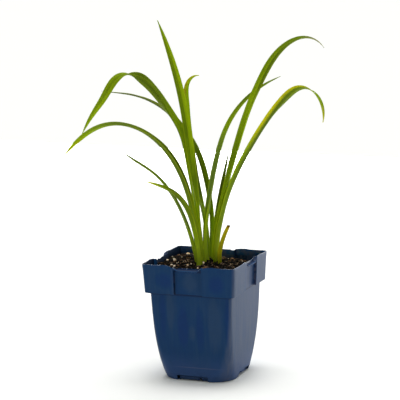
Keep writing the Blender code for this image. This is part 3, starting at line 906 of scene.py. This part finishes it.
# A leaf's greens from its pale base up, and the yellow and dry brown of a fading tip. Besides the
# leaf's own greens, the stops carry painted light and painted shade: brighter greens where a half of
# the blade is lit and darker ones where it lies in shade. near and far are the stops from base to tip
# on the half of the blade with u under 0.5 and on the other half, and meet is where across the blade
# the two meet.
PALE = (0.600, 0.780, 0.040)
LIME = (0.440, 0.630, 0.005)
BRIGHT = (0.330, 0.490, 0.005)
GREEN = (0.250, 0.375, 0.005)
MID = (0.180, 0.275, 0.006)
DEEP = (0.125, 0.190, 0.008)
DARK = (0.070, 0.100, 0.010)
SAGE = (0.220, 0.330, 0.045)
SHADY = (0.095, 0.150, 0.010)
OCHRE = (0.400, 0.380, 0.010)
GOLD = (0.800, 0.740, 0.010)
DRY = (0.320, 0.290, 0.170)
RIB_GREEN = (0.070, 0.115, 0.004)
EDGE_YELLOW = (0.700, 0.740, 0.010)
STREAK_YELLOW = (0.600, 0.700, 0.010)
AT_MIDRIB = (0.44, 0.56)
VEINS = 62


def leaf_skin(name, near, far, meet):
    """A satin leaf: dark along the midrib, yellower at the edges, streaked and veined."""
    material, shader, spots = finish(name, 0.42, 0.03)
    blade = spots.node("ShaderNodeUVMap", {"uv_map": "blade"}, {})
    u = blade.axis("X")
    v = blade.axis("Y")
    # The two halves' stops carry painted light and painted shade along with the leaf's own greens.
    colour = v.stops(*near).tint(v.stops(*far), u.ramp(*meet))
    off_rib = abs(u - 0.5)
    rib = (1 - off_rib.ramp(0.02, 0.07)) * (1 - v.ramp(0.7, 0.98))
    colour = colour.tint(RIB_GREEN, rib * 0.6)
    colour = colour.tint(EDGE_YELLOW, off_rib.ramp(0.42, 0.49) * 0.3)
    streak = blade.noise(6.0, 3.0, (5.0, 0.35, 1.0))
    mottle = spots.noise(140.0, 3.0)
    shade = streak.ramp(0.34, 0.66) * 0.42 + mottle * 0.14
    colour = colour.tint(RIB_GREEN, shade * 0.8)
    colour = colour.tint(STREAK_YELLOW, (1 - streak.ramp(0.28, 0.5)) * 0.3)
    feed(shader, "Base Color", colour)
    feed(shader, "Roughness", mottle * 0.15 + 0.36)
    veins = u.math("SINE", u * (VEINS * math.pi)) * 0.5 + 0.5
    emboss(shader, veins * 0.6 + streak * 0.4, 0.07 * MM)
    return material


def plant(name, leaf, near, far, meet=AT_MIDRIB, blunt=False):
    """Grow a leaf in its skin, in place of the frame's plain one."""
    skin = leaf_skin("skin_" + name, near, far, meet)
    piece = grow_blade("blade_" + name, leaf, skin, blunt)
    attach(piece, "root")
    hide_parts("leaf_" + name)


low_thin = Leaf(
    across=-12, behind=-3.5, keel=196, heading=173, length=167, width=11.5,
    leans=(10, 17, 28, 43, 62, 59), twists=(0, 10, 10, -20), folds=(66, 24, 16, 8))
plant(
    "left_low_thin", low_thin,
    near=[(0.0, PALE), (0.15, BRIGHT), (0.3, DEEP), (0.6, SHADY), (1.0, DARK)],
    far=[(0.0, PALE), (0.2, BRIGHT), (0.4, MID), (1.0, DARK)])

low_front = Leaf(
    across=-10.5, behind=-17, keel=212, heading=236, length=140, width=12,
    leans=(-2, 9, 18, 41, 65, 69), twists=(0, -25, -40, -25), folds=(66, 54, 68, 24))
plant(
    "left_low_front", low_front,
    near=[(0.0, PALE), (0.3, GREEN), (0.45, DEEP), (0.7, DEEP), (0.86, BRIGHT), (1.0, GOLD)],
    far=[(0.0, PALE), (0.26, BRIGHT), (0.4, MID), (0.65, DEEP), (0.8, MID), (1.0, GOLD)])

arch = Leaf(
    across=-9, behind=-11.5, keel=203, heading=212, length=283, width=14,
    leans=(0, 9, 14, 28, 49, 79, 120, 142), twists=(0, -40, -35, -10, -25, -80),
    folds=(66, 74, 24, 0))
plant(
    "left_arch", arch,
    near=[
        (0.0, PALE), (0.22, LIME), (0.32, DEEP), (0.75, SHADY), (0.88, GREEN), (0.95, LIME),
        (1.0, GOLD)],
    far=[(0.0, PALE), (0.2, GREEN), (0.35, DEEP), (0.75, DEEP), (0.88, BRIGHT), (1.0, GOLD)])


# Left and middle tall leaves: the widest blade, which turns over at its highest point,
# the tallest one, the hooked one, and one that passes behind them to the left.

broad = Leaf(
    across=-5.5, behind=-1, keel=199, heading=199, length=341, width=15.5,
    leans=(7, 5, 6, 9, 11, 31, 34, 64, 144, 144, 155),
    twists=(0, 5, 5, 5, 30, 80, 95, -55, -100, -95), folds=(66, 52, 64, 44, 0, 4))
plant(
    "left_broad", broad,
    near=[(0.0, PALE), (0.5, GREEN), (0.6, DEEP), (0.7, DEEP), (0.77, GREEN), (1.0, BRIGHT)],
    far=[
        (0.0, PALE), (0.25, LIME), (0.33, GREEN), (0.5, GREEN), (0.6, DEEP), (0.7, DEEP),
        (0.78, GREEN), (0.9, LIME), (1.0, LIME)])

tall = Leaf(
    across=-4, behind=-7, keel=217, heading=183, length=289, width=12.8,
    leans=(12, 4, 6, 6, 11, 17, 22), twists=(0, -20, -65, -60, -60), folds=(66, 48, 36, 4))
plant(
    "left_tall", tall,
    near=[(0.0, PALE), (0.2, BRIGHT), (0.35, MID), (0.5, LIME), (0.8, LIME), (1.0, BRIGHT)],
    far=[(0.0, PALE), (0.2, LIME), (0.4, GREEN), (0.55, MID), (0.8, MID), (1.0, GREEN)])

hooked = Leaf(
    across=-1.5, behind=4.5, keel=201, heading=167, length=232, width=13,
    leans=(-9, 3, 12, 13, 9, 8, 3, -7, -93), twists=(0, 10, 5, -10, -70), folds=(66, 30, 32, 0))
plant(
    "centre_hooked", hooked,
    near=[
        (0.0, PALE), (0.26, LIME), (0.35, DEEP), (0.48, DEEP), (0.6, GREEN), (0.75, LIME),
        (1.0, LIME)],
    far=[(0.0, PALE), (0.18, LIME), (0.3, BRIGHT), (0.7, GREEN), (0.85, OCHRE), (1.0, GOLD)])

behind = Leaf(
    across=2.5, behind=8.5, keel=188, heading=157, length=316, width=12,
    leans=(-8, 1, 12, 34, 55, 74, 88, 89), twists=(0, -45, 5, 15, 15), folds=(66, 56, 36, 12))
plant(
    "back_arch", behind,
    near=[
        (0.0, PALE), (0.2, BRIGHT), (0.3, GREEN), (0.42, DEEP), (0.6, DEEP), (0.7, DARK),
        (0.9, DARK), (1.0, SHADY)],
    far=[(0.0, PALE), (0.2, GREEN), (0.36, DARK), (1.0, DARK)])


# Right leaves: a slender one at the back, a short young one, a tall arch with a dry tip,
# and a lower arch that hooks down at its end.

right_back = Leaf(
    across=0.5, behind=-3, keel=20, heading=47, length=254, width=11.5,
    leans=(-13, 4, 11, 14, 21, 39, 58, 73), twists=(0, 10, 15, 15, 20), folds=(66, 48, 38, 28))
plant(
    "right_back", right_back,
    near=[(0.0, PALE), (0.22, LIME), (0.34, SAGE), (0.7, GREEN), (1.0, DEEP)],
    far=[
        (0.0, LIME), (0.2, BRIGHT), (0.3, SAGE), (0.55, SAGE), (0.65, BRIGHT), (0.8, DEEP),
        (1.0, DEEP)])

short = Leaf(
    across=7, behind=1, keel=18, heading=57, length=133, width=6.2,
    leans=(-2, 6, 14, 16, 14), twists=(0, 0, 25, 35), folds=(62, 70, 40, 20))
plant(
    "right_short", short,
    near=[(0.0, PALE), (0.3, BRIGHT), (0.42, DEEP), (0.6, DARK), (1.0, DARK)],
    far=[(0.0, PALE), (0.35, BRIGHT), (0.48, MID), (0.6, DARK), (1.0, DARK)])

right_tall = Leaf(
    across=9.5, behind=-5.5, keel=25, heading=35, length=324, width=14,
    leans=(-6, 10, 15.5, 17, 18.5, 25, 34, 70, 149), twists=(0, 0, 20, 25, 45, 15),
    folds=(62, 36, 20, 26))
plant(
    "right_tall", right_tall,
    near=[(0.0, LIME), (0.55, LIME), (0.66, DEEP), (0.9, DEEP), (0.96, DRY), (1.0, DRY)],
    far=[
        (0.0, LIME), (0.3, GREEN), (0.4, MID), (0.6, BRIGHT), (0.75, GREEN), (0.9, MID),
        (0.96, DRY), (1.0, DRY)])

right_arch = Leaf(
    across=13, behind=-5, keel=22, heading=-15, length=306, width=16.5,
    leans=(-13, 10, 17, 26, 33, 37, 43, 57, 133, 195), twists=(0, 5, 10, 0, -35, 30),
    folds=(62, 28, 36, 20, 0))
plant(
    "right_arch", right_arch,
    near=[
        (0.0, PALE), (0.15, GREEN), (0.3, GREEN), (0.48, BRIGHT), (0.6, GOLD), (0.8, GOLD),
        (0.9, GREEN), (1.0, GOLD)],
    far=[
        (0.0, PALE), (0.2, MID), (0.4, SHADY), (0.7, DEEP), (0.8, MID), (0.93, GREEN),
        (1.0, GOLD)],
    meet=(0.04, 0.34))


# Cut leaf: a short dying stub at the right of the clump, orange and yellow, with a dry
# dark brown end where it was cut.

stub = Leaf(
    across=14, behind=-10, keel=26, heading=-9, length=50, width=10,
    leans=(-7, 19, 34), twists=(0, 30, 15, -15), folds=(62, 72, 60, 48))
amber = [
    (0.0, (0.300, 0.330, 0.010)), (0.3, (0.700, 0.620, 0.010)), (0.9, (0.780, 0.600, 0.010)),
    (0.95, (0.500, 0.240, 0.010)), (1.0, (0.050, 0.022, 0.008)),
]
plant("right_stub", stub, near=amber, far=amber, blunt=True)


# Floor and light: a white floor that runs out of sight and a pale surround. Three lamps of
# different softness hang above and a little behind, and a low wide panel glows at the back.

FLOOR_RADIUS = 30.0
FLOOR_WHITE = (0.86, 0.86, 0.85, 1.0)
SURROUND = (0.94, 1.0, 0.88, 1.0)
SURROUND_STRENGTH = 0.22

bm = bmesh.new()
bmesh.ops.create_circle(bm, cap_ends=True, segments=64, radius=FLOOR_RADIUS)
floor = finished("floor", bm)
white_floor, shader, spots = finish("white_floor", 1.0, 0.0)
shader.inputs["Base Color"].default_value = FLOOR_WHITE
floor.data.materials.append(white_floor)

world = bpy.data.worlds.new("surround")
world.use_nodes = True
glow = world.node_tree.nodes["Background"]
glow.inputs["Color"].default_value = SURROUND
glow.inputs["Strength"].default_value = SURROUND_STRENGTH
bpy.context.scene.world = world

# Each lamp's energy, its width in degrees, and its tilts about X and Y in degrees.
lamps = (
    ("soft_light", 1.5, 80.0, -6.0, -3.0),
    ("top_light", 1.15, 30.0, -6.0, -2.0),
    ("small_light", 0.40, 10.0, -4.0, 0.0),
)
for name, energy, width, tilt_x, tilt_y in lamps:
    lamp = bpy.data.objects.new(name, bpy.data.lights.new(name, "SUN"))
    lamp.data.energy = energy
    lamp.data.angle = math.radians(width)
    lamp.rotation_euler = (math.radians(tilt_x), math.radians(tilt_y), 0.0)
    bpy.context.scene.collection.objects.link(lamp)

panel = bpy.data.objects.new("panel_light", bpy.data.lights.new("panel_light", "AREA"))
panel.data.shape = "RECTANGLE"
panel.data.size = 3.4
panel.data.size_y = 0.5
panel.data.energy = 54.0
panel_height = 0.22
panel_distance = 1.7
aim = Vector((0.06, 1.0, 0.0)).normalized()
facing = aim.to_track_quat("Z", "Y").to_matrix().to_4x4()
panel.matrix_world = Matrix.Translation(aim * panel_distance + UP * panel_height) @ facing
bpy.context.scene.collection.objects.link(panel)
